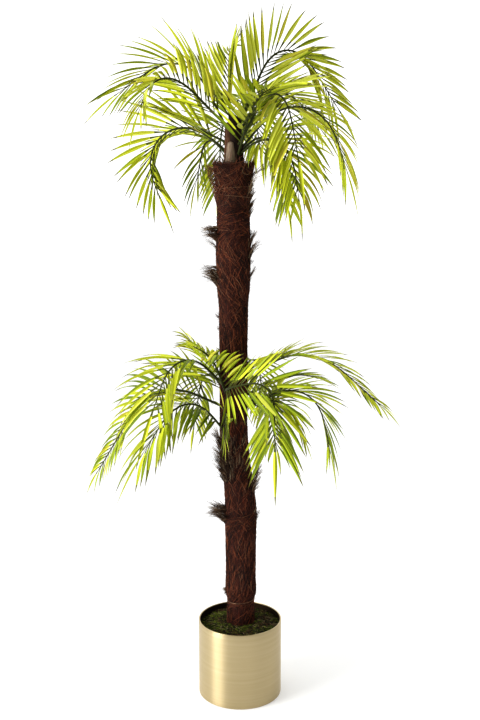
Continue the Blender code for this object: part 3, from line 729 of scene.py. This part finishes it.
def net_lines(rng):
    count = NET_STRANDS
    share = np.linspace(-0.5, 0.5, TUFT_POINTS)
    heights = rng.uniform(NET_FOOT + 0.01, NET_TOP, count)
    azimuths = rng.uniform(0.0, math.tau, count)
    slope = rng.choice((-1.0, 1.0), count) * rng.normal(0.75, 0.25, count)
    length = rng.uniform(0.020, 0.055, count)[:, None]
    way = slope[:, None] + rng.normal(0.0, 0.5, count)[:, None] * share
    lower = NET_DROP * np.clip(-np.cos(azimuths), 0.0, 1.0)
    edge = NET_TOP + rng.uniform(-0.008, 0.006, count) - lower
    high = heights[:, None] + np.cos(way) * length * share
    high = np.clip(high, NET_FOOT, edge[:, None])
    turn = azimuths[:, None] + np.sin(way) * length * share / sleeve_radii(high)
    leftness = np.clip(-np.cos(turn), 0.0, 1.0) ** 2
    opening = between(NET_LEAST_FLARE, 1.0, leftness)
    climb = ((high - NET_FOOT) / (NET_TOP - NET_FOOT)) ** NET_CURVE
    depth = rng.uniform(0.35, 1.0, count)[:, None]
    return on_trunk(turn, high, NET_FLARE * opening * climb * depth)


def make_rim(rng, materials):
    count = RIM_HAIRS
    heights = rng.uniform(1.385, SLEEVE_TOP, count)
    azimuths = rng.uniform(0.0, math.tau, count)
    lengths = rng.uniform(0.012, 0.034, count)
    climb = rng.normal(1.15, 0.25, count)
    curl = rng.normal(-0.2, 0.5, count)
    drift = rng.normal(0.0, 0.8, count)
    loose = hairs(rng, heights, azimuths, lengths, climb, curl, TUFT_POINTS, drift, 0.001)
    lines = np.concatenate((net_lines(rng), loose))
    radii = taper(TUFT_POINTS, rng.uniform(0.00026, 0.00050, len(lines)), 0.6)
    tints = rng.choice(len(materials), len(lines), p=RIM_SHARES)
    piece = put_strands("rim_hairs", lines, radii, tints, materials)
    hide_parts("fibre_rim")


# A dried brush that hangs from an upper rib. Its waist and spread are shares of
# its length
BRUSH_ROOT = (0.0470, -0.0480, 1.4720)
BRUSH_HAIRS = 54
BRUSH_LENGTH = 0.072
BRUSH_WIDTH = 0.0042
BRUSH_WAIST = 0.25
BRUSH_SPREAD = 0.45
BRUSH_DRIFT = 0.008


def make_brush(rng, materials):
    share = np.linspace(0.0, 1.0, TUFT_POINTS)
    lengths = BRUSH_LENGTH * rng.uniform(0.6, 1.0, BRUSH_HAIRS)
    spread = np.clip((share - BRUSH_WAIST) / BRUSH_SPREAD, 0.0, 1.0)
    turn = rng.uniform(0.0, math.tau, BRUSH_HAIRS)
    reach = BRUSH_WIDTH * rng.uniform(0.1, 1.0, BRUSH_HAIRS)
    lines = np.zeros((BRUSH_HAIRS, TUFT_POINTS, 3))
    lines[..., 0] = (reach * np.cos(turn))[:, None] * spread + BRUSH_DRIFT * share
    lines[..., 1] = (reach * np.sin(turn))[:, None] * spread
    lines[..., 2] = -lengths[:, None] * share
    lines += np.array(BRUSH_ROOT)
    radii = taper(TUFT_POINTS, rng.uniform(0.0003, 0.0006, BRUSH_HAIRS))
    tints = rng.choice(len(TUFT_TINTS), BRUSH_HAIRS, p=TUFT_SHARES)
    put_strands("hanging_brush", lines, radii, tints, materials)


# Binding wires: height, tilt over the trunk's radius, first and last azimuth
WIRES = ((1.359, 0.003, 0, 360), (1.3385, -0.004, 180, 400), (0.264, 0.003, 0, 360))
WIRE_RADIUS = 0.0006
WIRE_STAND = 0.0009
WIRE_POINTS = 60
WIRE_SIDES = 6
WIRE_TINT = (150, 120, 96)
WIRE_ROUGHNESS = (0.28, 0.50)
WIRE_BUMP = (0.2, 0.0001)


def wire_material():
    material, tree, shader = nodes_of("wire", 0.35, 1.0)
    set_inputs(shader, {"Base Color": linear(WIRE_TINT)})
    grain = noise_texture(tree, EVEN, 400.0)
    roughness_range(tree, shader, grain, *WIRE_ROUGHNESS)
    bump(tree, shader, grain, *WIRE_BUMP)
    return material


def make_wires():
    lines = []
    for height, tilt, first, last in WIRES:
        turns = np.radians(np.linspace(first, last, WIRE_POINTS))
        lines.append(on_trunk(turns, height + tilt * np.cos(turns), WIRE_STAND))
    lines = np.array(lines)
    radii = np.full(lines.shape[:2], WIRE_RADIUS)
    tints = np.zeros(len(WIRES), int)
    wires = put_strands("binding_wires", lines, radii, tints, [wire_material()], WIRE_SIDES)


# Post and its sheaths, by their offset from the trunk's axis
Stub = namedtuple("Stub", "x y top radius tip_radius tint")
STUBS = [Stub(*row) for row in (
    (0.0035, 0.0030, POST_TOP, 0.0215, 0.0165, 0),
    (-0.0120, -0.0020, 1.520, 0.0125, 0.0085, 2),
    (-0.0060, -0.0110, 1.472, 0.0190, 0.0090, 1),
    (0.0150, -0.0040, 1.470, 0.0125, 0.0110, 0),
)]
# The near-black first tint, on the tallest stub and the one to the viewer's right, is painted shade
POST_TINTS = (
    ("post_painted_shade", (20, 12, 9), (46, 31, 23)),
    ("post_taupe", (104, 88, 74), (146, 128, 110)),
    ("post_brown", (52, 32, 22), (104, 74, 54)),
)
STUB_SIDES = 40
STUB_ROWS = 14
STUB_FOOT = TRUNK_TOP - 0.02
# Rounded end. Its height is a share of the tip's radius
CAP_ROWS = 7
CAP_HEIGHT = 0.7
CAP_MIDDLE = 0.0002
# Unevenness as a share of the radius, and scales of its noise
WOBBLE = 0.06
WOBBLE_ROUND = 2.0
WOBBLE_ALONG = 30.0
WOBBLE_OTHER = 90.0


def post_material(name, dark, light):
    stops = ((0.35, dark), (0.65, light))
    return ground_material(name, Ground(0.75, 0.12, (180.0, 180.0, 26.0), 1.0, 4.0, stops, 0.5, 0.0008))


def stub_rows(stub):
    """Height and radius of each ring, up to the middle of the rounded end."""
    cap = stub.tip_radius * CAP_HEIGHT
    rows = []
    for step in range(STUB_ROWS + 1):
        share = step / STUB_ROWS
        height = between(STUB_FOOT, stub.top - cap, share)
        rows.append((height, between(stub.radius, stub.tip_radius, share)))
    for step in range(1, CAP_ROWS + 1):
        turn = math.radians(90.0 * step / CAP_ROWS)
        height = stub.top - cap * (1.0 - math.sin(turn))
        rows.append((height, max(CAP_MIDDLE, stub.tip_radius * math.cos(turn))))
    return rows


def stub_ring(stub, height, radius):
    centre = trunk_axis(TRUNK_TOP) + Vector((stub.x, stub.y, 0.0))
    layer = height * WOBBLE_ALONG + stub.x * WOBBLE_OTHER
    ring = []
    for side in range(STUB_SIDES):
        out = around(360.0 * side / STUB_SIDES)
        uneven = noise.noise(Vector((out.x * WOBBLE_ROUND, out.y * WOBBLE_ROUND, layer)))
        size = radius * (1.0 + WOBBLE * uneven)
        ring.append(centre + out * size + Vector((0.0, 0.0, height - TRUNK_TOP)))
    return ring


def make_post():
    materials = [post_material(*row) for row in POST_TINTS]
    points = []
    faces = []
    tints = []
    for stub in STUBS:
        first = len(points)
        rows = stub_rows(stub)
        for height, radius in rows:
            points += stub_ring(stub, height, radius)
        faces += ring_quads(len(rows) - 1, STUB_SIDES, first)
        tints += [stub.tint] * (len(faces) - len(tints))
    post = put_piece("post_stubs", points, faces, materials, tints)
    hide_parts("crown_post")


# Fronds

# Finer leaflets than the CAD model's, which also cover more of the rib. Those
# shorter than the full width length are narrower
LEAF_PITCH = 0.0146
LAST_LEAF = 0.97
BARE_SHARE = 0.6
FEWEST_PAIRS = 4
LEAF_WIDTH = 0.0112
FULL_WIDTH_LENGTH = 0.175
NARROWEST = 0.45

# Shape of a leaflet, its places by shares of the length
LEAF_SAMPLES = 14
STALK_SHARE = 0.24
WIDEST = 0.46
TIP_SHARE = 0.84
VALLEY_FADE = 0.3
STALK_WIDTH = 0.0024
TIP_CURVE = 1.45
TIP_HALF_WIDTH = 0.00015
LEAF_VALLEY = 0.60
# Points across it: place in half widths, and height in depths of the valley
LEAF_SECTION = ((-1.0, 1.0), (-0.5, 0.42), (0.0, 0.0), (0.5, 0.42), (1.0, 1.0))
# Start of a leaflet beside the rib's middle, in thicknesses of the rib
LEAF_SEAT = 0.35
TERMINAL_SAG = 0.12

# Spreads between leaflets, degrees for angles. A face turns about its leaflet
PLACE_JITTER = 0.15
ANGLE_JITTER = 2.0
FOLD_JITTER = 5.0
LENGTH_JITTER = 0.05
SAG_JITTER = 0.15
FACE_JITTER = 14.0

# Scale and lift in degrees, tried in turn on a leaflet that would run into the
# trunk or the post, and room beside and above the trunk
CORE_TRIES = ((1.0, 0), (1.0, 25), (0.85, 40), (0.7, 0), (0.6, 30))
CORE_ROOM = 0.002
CORE_ROOM_ABOVE = 0.01

# Ribs, fuller than the CAD model's, with sunk roots and a channel on top
RIB_SAMPLES = 48
RIB_SIDES = 8
RIB_FULLNESS = 1.2
RIB_SINK = 0.012
RIB_CHANNEL = 0.62

# Leaflet tints, each the same green twice: painted light on the half towards the frond's tip and
# painted shade on the half towards its foot
LEAF_TINTS = (
    ((206, 213, 54), (152, 159, 24)),
    ((213, 219, 86), (174, 179, 46)),
    ((182, 194, 42), (126, 139, 18)),
    ((210, 206, 72), (162, 154, 42)),
    ((149, 167, 32), (99, 117, 15)),
)
STALK_TINT = (80, 88, 8)
TIP_TINT = (106, 106, 40)
RIB_TINT = (46, 52, 6)
# Share of each tint in a frond with painted sun, a plain one, one with painted shade and one with deep
# painted shade. The last, darkest green is mostly dealt out as painted shade
SUNNY = (0.36, 0.34, 0.12, 0.14, 0.04)
PLAIN = (0.42, 0.20, 0.22, 0.08, 0.08)
SHADED = (0.26, 0.08, 0.34, 0.06, 0.26)
DEEP_SHADE = (0.14, 0.04, 0.40, 0.04, 0.38)
# Which painted light or shade each frond has, in the order of the frond tables
UPPER_LIGHT = (
    SUNNY, SUNNY, PLAIN, SHADED, SUNNY, SUNNY, PLAIN, PLAIN,
    PLAIN, PLAIN, PLAIN, PLAIN, SHADED, SHADED, PLAIN,
)
LOWER_LIGHT = (
    PLAIN, SHADED, SHADED, PLAIN, DEEP_SHADE, DEEP_SHADE, SUNNY,
    DEEP_SHADE, DEEP_SHADE, SHADED, SHADED, PLAIN, SHADED, SHADED,
)


def rolled(side, up, turn):
    """Two directions at right angles, both turned about the third."""
    cosine = math.cos(turn)
    sine = math.sin(turn)
    return side * cosine + up * sine, up * cosine - side * sine


def rib_thickness(share):
    return between(RIB_ROOT, RIB_TIP, share)


class Rib:
    """The line of a frond's rib, by the same rule as the CAD model's. Its rows are a
    point, the tangent there, and the directions across and above the blade."""

    def __init__(self, frond):
        self.frond = frond
        side = around(frond.azimuth + 90.0)
        point = self.root_point(side, math.radians(frond.roll))
        self.rows = []
        for step in range(RIB_STEPS + 1):
            tangent = self.heading((step + 0.5) / RIB_STEPS)
            side = (side - tangent * side.dot(tangent)).normalized()
            up = tangent.cross(side)
            roll = math.radians(frond.roll + frond.twist * step / RIB_STEPS)
            self.rows.append((point, tangent, *rolled(side, up, roll)))
            point = point + tangent * (frond.length / RIB_STEPS)

    def root_point(self, side, roll):
        frond = self.frond
        outward = around(frond.azimuth)
        across, above = rolled(side, self.heading(0.0).cross(side), roll)
        inward = (abs(across.dot(outward)) + abs(above.dot(outward))) * RIB_ROOT / 2.0
        core = post_radius(frond.height) if frond.height > TRUNK_TOP else trunk_radius(frond.height)
        return trunk_axis(frond.height) + outward * (core + SEAT + inward)

    def heading(self, share):
        frond = self.frond
        low = frond.bend - frond.spread / 2.0
        high = frond.bend + frond.spread / 2.0
        rise = math.radians(frond.rise - frond.droop * smooth(low, high, share))
        flat = around(frond.azimuth + frond.swing * share) * math.cos(rise)
        return flat + Vector((0.0, 0.0, math.sin(rise)))

    def at(self, share):
        place = min(max(share, 0.0), 1.0) * RIB_STEPS
        step = min(int(place), RIB_STEPS - 1)
        pairs = zip(self.rows[step], self.rows[step + 1])
        return [low.lerp(high, place - step) for low, high in pairs]


def blade_half_width(share, width):
    """A thin stalk, a long swelling and a fine tip."""
    if share < WIDEST:
        return (STALK_WIDTH + (width - STALK_WIDTH) * smooth(0.0, WIDEST, share)) / 2.0
    past = (share - WIDEST) / (1.0 - WIDEST)
    return max(TIP_HALF_WIDTH, width * (1.0 - past ** TIP_CURVE) / 2.0)


def leaf_width(length):
    return LEAF_WIDTH * between(NARROWEST, 1.0, smooth(0.0, FULL_WIDTH_LENGTH, length))


def strip_tint(share, strip, tint):
    """Number of a face's material, in the order of leaf_materials."""
    if share < STALK_SHARE:
        return 2 * len(LEAF_TINTS)
    if share > TIP_SHARE:
        return 2 * len(LEAF_TINTS) + 1
    # The half towards the frond's foot takes the darker copy of its tint, which is painted shade
    return 2 * tint + int(strip < len(LEAF_SECTION) // 2)


class Leaves:
    """Collects the leaflets of a tier."""

    def __init__(self):
        self.points = []
        self.faces = []
        self.tints = []

    def add(self, line, across, above, width, tint):
        """One leaflet, with two strips each side of its vein."""
        first = len(self.points)
        last = len(line) - 1
        for sample, spot in enumerate(line):
            share = sample / last
            half = blade_half_width(share, width)
            valley = LEAF_VALLEY * smooth(0.0, VALLEY_FADE, 1.0 - share) * half
            for place, rise in LEAF_SECTION:
                point = spot + across[sample] * (place * half) + above[sample] * (rise * valley)
                self.points.append(point)
        wide = len(LEAF_SECTION)
        for sample in range(last):
            for strip in range(wide - 1):
                low = first + wide * sample + strip
                self.faces.append((low, low + 1, low + wide + 1, low + wide))
                self.tints.append(strip_tint((sample + 0.5) / last, strip, tint))


# Place on the rib, side (1 or -1), length, angle to the rib, fold above the
# blade's plane, sag, turn of the face and tint, with the angles in radians
Leaflet = namedtuple("Leaflet", "share left length angle fold sag face tint")


def leaflet_line(rib, leaflet):
    """Points along a leaflet's middle, and its directions across and above."""
    point, tangent, side, up = rib.at(leaflet.share)
    outward = side * (leaflet.left * math.cos(leaflet.fold)) + up * math.sin(leaflet.fold)
    first = (tangent * math.cos(leaflet.angle) + outward * math.sin(leaflet.angle)).normalized()
    line = [point + side * (leaflet.left * rib_thickness(leaflet.share) * LEAF_SEAT)]
    across = []
    above = []
    for sample in range(LEAF_SAMPLES + 1):
        along = (sample + 0.5) / LEAF_SAMPLES
        drop = Vector((0.0, 0.0, -leaflet.sag * along * along))
        heading = (first + tangent * (LEAF_FOLLOW * along) + drop).normalized()
        wide = (tangent - heading * tangent.dot(heading)).normalized()
        high = wide.cross(heading)
        if high.dot(up) < 0.0:
            high = -high
        wide, high = rolled(wide, high, leaflet.face)
        across.append(wide)
        above.append(high)
        if sample < LEAF_SAMPLES:
            line.append(line[-1] + heading * (leaflet.length / LEAF_SAMPLES))
    return line, across, above


def enters_core(line):
    """Whether a leaflet's middle runs through the trunk or the post."""
    for spot in line[2:]:
        if spot.z < TRUNK_TOP + CORE_ROOM_ABOVE:
            core = trunk_radius(spot.z) + CORE_ROOM
        elif spot.z < POST_TOP:
            core = post_radius(spot.z)
        else:
            continue
        middle = trunk_axis(spot.z)
        if math.hypot(spot.x - middle.x, spot.y - middle.y) < core:
            return True
    return False


def draw_leaflet(frond, pair, pairs, left, shares, rng):
    """A leaflet by the frond's rule, with its own spread and tint."""
    place = pair / (pairs - 1)
    bare = frond.bare * BARE_SHARE
    shift = rng.uniform(-PLACE_JITTER, PLACE_JITTER) / pairs
    angle = between(frond.angle, LEAF_ANGLE_TIP, place) + rng.normal(0.0, ANGLE_JITTER)
    fold = frond.fold * (1.0 - place) + rng.normal(0.0, FOLD_JITTER)
    length = between(frond.leaf, frond.last, place)
    return Leaflet(
        share=bare + (LAST_LEAF - bare) * (place + shift),
        left=left,
        length=length * (1.0 + rng.uniform(-LENGTH_JITTER, LENGTH_JITTER)),
        angle=math.radians(angle),
        fold=math.radians(fold),
        sag=frond.sag * (1.0 + rng.normal(0.0, SAG_JITTER)),
        face=math.radians(rng.normal(0.0, FACE_JITTER)),
        tint=int(rng.choice(len(LEAF_TINTS), p=shares)),
    )


def add_last_leaflet(leaves, rib):
    """The single leaflet at the end of the rib."""
    end, tangent, side, up = rib.at(1.0)
    length = rib.frond.last * TERMINAL_LEAF
    count = LEAF_SAMPLES + 1
    line = []
    for sample in range(count):
        drop = Vector((0.0, 0.0, length * TERMINAL_SAG * (sample / LEAF_SAMPLES) ** 2))
        line.append(end + tangent * (length * sample / LEAF_SAMPLES) - drop)
    leaves.add(line, [side] * count, [up] * count, leaf_width(length), 0)


def grow_leaflets(leaves, rib, shares, rng):
    frond = rib.frond
    run = LAST_LEAF - frond.bare * BARE_SHARE
    pairs = max(FEWEST_PAIRS, round(frond.length * run / LEAF_PITCH))
    for pair in range(pairs):
        for left in (1, -1):
            drawn = draw_leaflet(frond, pair, pairs, left, shares, rng)
            for scale, lift in CORE_TRIES:
                fold = drawn.fold + math.radians(lift)
                tried = drawn._replace(length=drawn.length * scale, fold=fold)
                line, across, above = leaflet_line(rib, tried)
                if not enters_core(line):
                    leaves.add(line, across, above, leaf_width(tried.length), tried.tint)
                    break
    add_last_leaflet(leaves, rib)


def rib_mesh(points, faces, rib):
    """Add a tapering tube with a shallow channel along its upper side."""
    first = len(points)
    for sample in range(RIB_SAMPLES + 1):
        share = sample / RIB_SAMPLES
        point, tangent, side, up = rib.at(share)
        half = rib_thickness(share) * RIB_FULLNESS / 2.0
        if sample == 0:
            point = point - tangent * RIB_SINK
        for corner in range(RIB_SIDES):
            turn = math.tau * corner / RIB_SIDES
            size = half * (RIB_CHANNEL if corner == RIB_SIDES // 4 else 1.0)
            points.append(point + side * (math.cos(turn) * size) + up * (math.sin(turn) * size))
    faces += ring_quads(RIB_SAMPLES, RIB_SIDES, first)
    last = first + RIB_SAMPLES * RIB_SIDES
    faces.append(tuple(range(last, last + RIB_SIDES)))


def leaf_materials():
    materials = []
    for number, halves in enumerate(LEAF_TINTS):
        # Each tint has a copy with painted light and a darker copy with painted shade
        for half, tint in zip(("light", "dark"), halves):
            materials.append(plain_tint(f"leaf_{number}_{half}", tint, LEAF_FINISH))
    materials.append(plain_tint("leaf_stalk", STALK_TINT, STALK_FINISH))
    materials.append(plain_tint("leaf_tip", TIP_TINT, TIP_FINISH))
    return materials


def frond_nodes(tier):
    return sorted(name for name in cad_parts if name.startswith(f"{tier}_frond"))


def make_fronds(tier, fronds, lights, materials, rib_material, rng):
    leaves = Leaves()
    points = []
    faces = []
    for frond, shares in zip(fronds, lights):
        rib = Rib(frond)
        rib_mesh(points, faces, rib)
        grow_leaflets(leaves, rib, shares, rng)
    piece = put_piece(f"{tier}_leaflets", leaves.points, leaves.faces, materials, leaves.tints)
    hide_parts(*frond_nodes(tier))
    ribs = put_piece(f"{tier}_ribs", points, faces, [rib_material])


# Stage, light and camera

FLOOR_HALF = 40.0
FLOOR_INPUTS = {
    "Base Color": (0.80, 0.80, 0.80, 1.0),
    "Emission Color": (1.0, 1.0, 1.0, 1.0),
    "Emission Strength": 0.20,
}

# Name, place, target, size and power
LIGHTS = (
    ("key", (-3.0, -1.8, 2.0), (0.0, 0.0, 1.1), (1.4, 1.4), 84.0),
    ("strip", (-2.4, -0.9, 1.0), (0.0, 0.0, 0.4), (0.7, 1.8), 14.0),
)

# The surround darkens to the viewer's right and behind the camera: axis, start and
# end of the fade, and least brightness
WORLD_STRENGTH = 1.18
WORLD_FADES = (("X", 0.35, 0.85, 0.24), ("Y", 0.0, -0.8, 0.42))

# Camera of the photo
CAMERA_HEIGHT = 1.33
CAMERA_DISTANCE = 2.46
CAMERA_TILT = 9.5
CAMERA_LENS = 48.0
CONTRAST = "Medium High Contrast"


def make_stage():
    material, _, shader = nodes_of("floor_white", 0.9, 0.0, 0.1)
    set_inputs(shader, FLOOR_INPUTS)
    mesh = bpy.data.meshes.new("floor")
    corners = [(x * FLOOR_HALF, y * FLOOR_HALF, 0.0) for x, y in ((-1, -1), (1, -1), (1, 1), (-1, 1))]
    mesh.from_pydata(corners, [], [(0, 1, 2, 3)])
    mesh.materials.append(material)
    floor = put_object("floor", mesh)


def area_light(name, place, target, size, power):
    light = bpy.data.lights.new(name, "AREA")
    light.shape = "RECTANGLE"
    light.size, light.size_y = size
    light.energy = power
    item = put_object(name, light)
    item.location = place
    item.rotation_euler = (Vector(target) - Vector(place)).to_track_quat("-Z", "Y").to_euler()


def make_world():
    world = bpy.data.worlds.new("studio")
    bpy.context.scene.world = world
    world.use_nodes = True
    tree = world.node_tree
    source = tree.nodes.new("ShaderNodeTexCoord")
    parts = tree.nodes.new("ShaderNodeSeparateXYZ")
    tree.links.new(source.outputs["Generated"], parts.inputs["Vector"])
    both = tree.nodes.new("ShaderNodeMath")
    both.operation = "MULTIPLY"
    for number, (axis, clear, full, least) in enumerate(WORLD_FADES):
        fade = tree.nodes.new("ShaderNodeMapRange")
        set_inputs(fade, {"From Min": clear, "From Max": full, "To Min": 1.0, "To Max": least})
        tree.links.new(parts.outputs[axis], fade.inputs["Value"])
        tree.links.new(fade.outputs["Result"], both.inputs[number])
    background = tree.nodes["Background"]
    tree.links.new(both.outputs["Value"], background.inputs["Color"])
    set_inputs(background, {"Strength": WORLD_STRENGTH})


def make_camera():
    camera = bpy.data.cameras.new("photo_camera")
    camera.lens = CAMERA_LENS
    camera.sensor_width = 36.0
    camera.clip_end = 100.0
    item = put_object("photo_camera", camera)
    item.location = (0.0, -CAMERA_DISTANCE, CAMERA_HEIGHT)
    item.rotation_euler = (math.radians(90.0 - CAMERA_TILT), 0.0, 0.0)
    bpy.context.scene.camera = item


def main():
    rng = np.random.default_rng(SEED)
    coir = plain_tints("coir", COIR_TINTS, COIR_FINISH)
    tufts = plain_tints("tuft", TUFT_TINTS, TUFT_FINISH)
    make_pot()
    make_moss_bed()
    make_sprigs(rng)
    make_bark()
    make_coir(rng, coir)
    make_fuzz(rng, coir)
    make_tufts(rng, tufts)
    make_rim(rng, coir + tufts)
    make_brush(rng, tufts)
    make_wires()
    make_post()
    leaf = leaf_materials()
    rib = plain_tint("rib_green", RIB_TINT, RIB_FINISH)
    make_fronds("upper", UPPER_FRONDS, UPPER_LIGHT, leaf, rib, rng)
    make_fronds("lower", LOWER_FRONDS, LOWER_LIGHT, leaf, rib, rng)
    make_stage()
    make_world()
    for light in LIGHTS:
        area_light(*light)
    make_camera()
    view = bpy.context.scene.view_settings
    view.view_transform = "Standard"
    view.look = CONTRAST


main()
